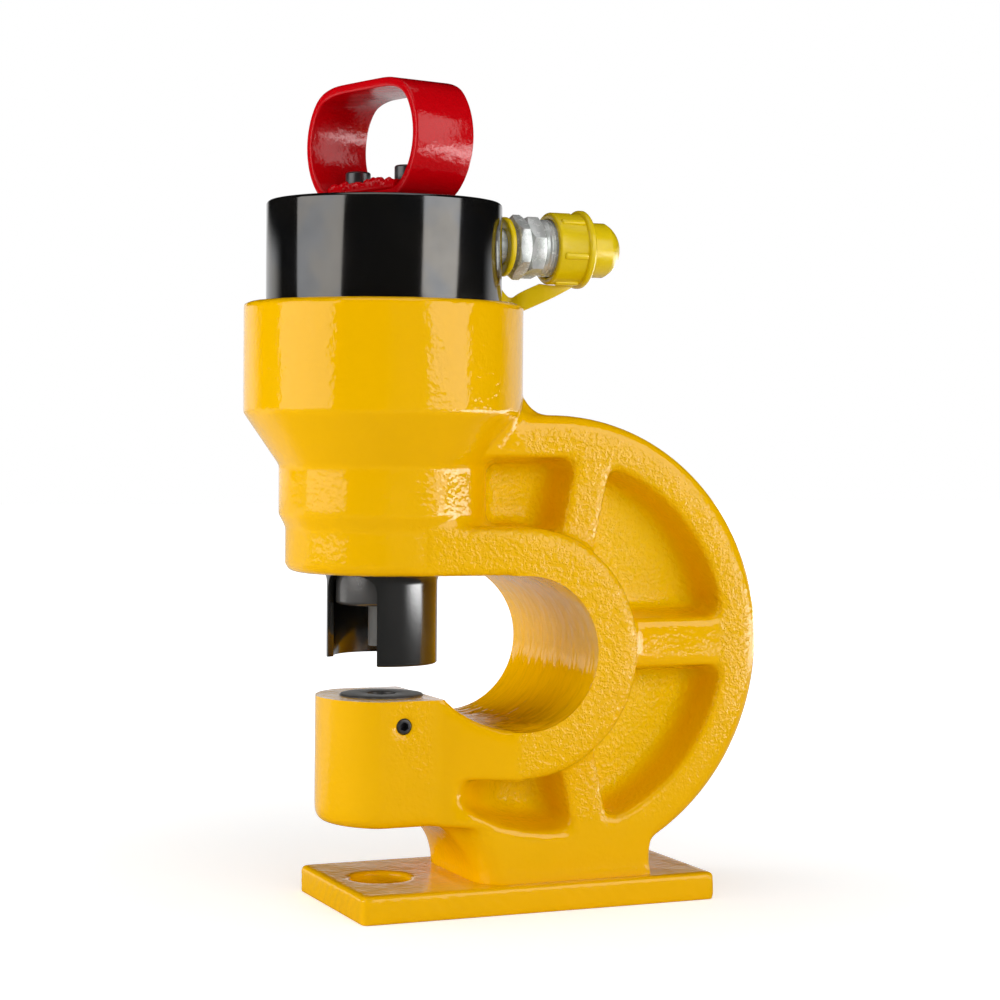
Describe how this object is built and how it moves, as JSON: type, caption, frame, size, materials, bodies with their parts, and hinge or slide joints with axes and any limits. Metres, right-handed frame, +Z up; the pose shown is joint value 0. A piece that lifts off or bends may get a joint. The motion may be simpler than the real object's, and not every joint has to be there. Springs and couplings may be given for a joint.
{
  "type": "hydraulic hole punch",
  "caption": "Hydraulic C-frame hole punch: cast yellow frame on a base plate, spring-return cylinder, punch, stripper, die, carrying handle and capped oil coupler.",
  "frame": {"origin": "On the punch axis at the underside of the base plate, where the slug hole opens to the bench.", "axes": "+Z up along the punch axis, +X from the punch towards the back of the C, +Y to the machine's left seen from the throat's mouth. Millimetres in the source, metres in the record."},
  "size_m": [0.2638, 0.14, 0.4128],
  "materials": {
    "frame_enamel": "gloss amber enamel over a sand casting, smooth where turned and pebbled elsewhere",
    "base_enamel": "gloss amber enamel over cut plate",
    "cylinder_black": "black oxide on turned steel",
    "handle_red": "gloss red enamel on bent strap",
    "black_steel": "black oxide screws",
    "ground_steel": "ground and plated steel",
    "seal_rubber": "black seal rubber",
    "guide_plastic": "brown fabric-filled guide ring",
    "spring_steel": "oiled spring steel",
    "bronze": "turned bronze",
    "stripper_black": "satin black oxide on turned tube",
    "holder_steel": "satin grey turned steel",
    "tool_steel": "hardened tool steel",
    "die_steel": "dark ground tool steel with a bright edge",
    "zinc_steel": "bright zinc plate",
    "cap_yellow": "moulded lemon-yellow plastic"
  },
  "bodies": {
    "root": {"c_frame": "frame_enamel", "base_plate": "base_enamel", "base_screws": "black_steel", "cylinder": "cylinder_black", "handle": "handle_red", "handle_screws": "black_steel", "return_spring": "spring_steel", "rod_guide": "bronze", "rod_wiper": "seal_rubber", "stripper": "stripper_black", "die": "die_steel", "port_adaptor": "zinc_steel", "adaptor_seal": "seal_rubber", "coupler_body": "zinc_steel", "poppet_spring": "spring_steel", "coupler_seal": "seal_rubber", "cap_tether": "cap_yellow"},
    "ram_body": {"ram": "ground_steel", "piston_seal": "seal_rubber", "piston_guide_ring": "guide_plastic", "punch_holder": "holder_steel", "punch": "tool_steel"},
    "set_screw_body": {"die_set_screw": "black_steel"},
    "poppet_body": {"coupler_poppet": "ground_steel"},
    "cap_body": {"dust_cap": "cap_yellow"}
  },
  "joints": [
    {"name": "ram_stroke", "type": "slide", "parent": "root", "child": "ram_body", "axis": [0, 0, -1], "range_m": [0, 0.0277], "stiffness_N_per_m": 8000, "springref_m": -0.015, "deforming": ["return_spring"]},
    {"name": "dust_cap_pull", "type": "slide", "parent": "root", "child": "cap_body", "axis": [1, 0, 0], "range_m": [0, 0.03], "deforming": ["cap_tether"]},
    {"name": "poppet_open", "type": "slide", "parent": "root", "child": "poppet_body", "axis": [-1, 0, 0], "range_m": [0, 0.003], "stiffness_N_per_m": 2000, "springref_m": -0.002, "deforming": ["poppet_spring"]},
    {"name": "die_set_screw_back_out", "type": "slide", "parent": "root", "child": "set_screw_body", "axis": [0, -1, 0], "range_m": [0, 0.0025]}
  ]
}
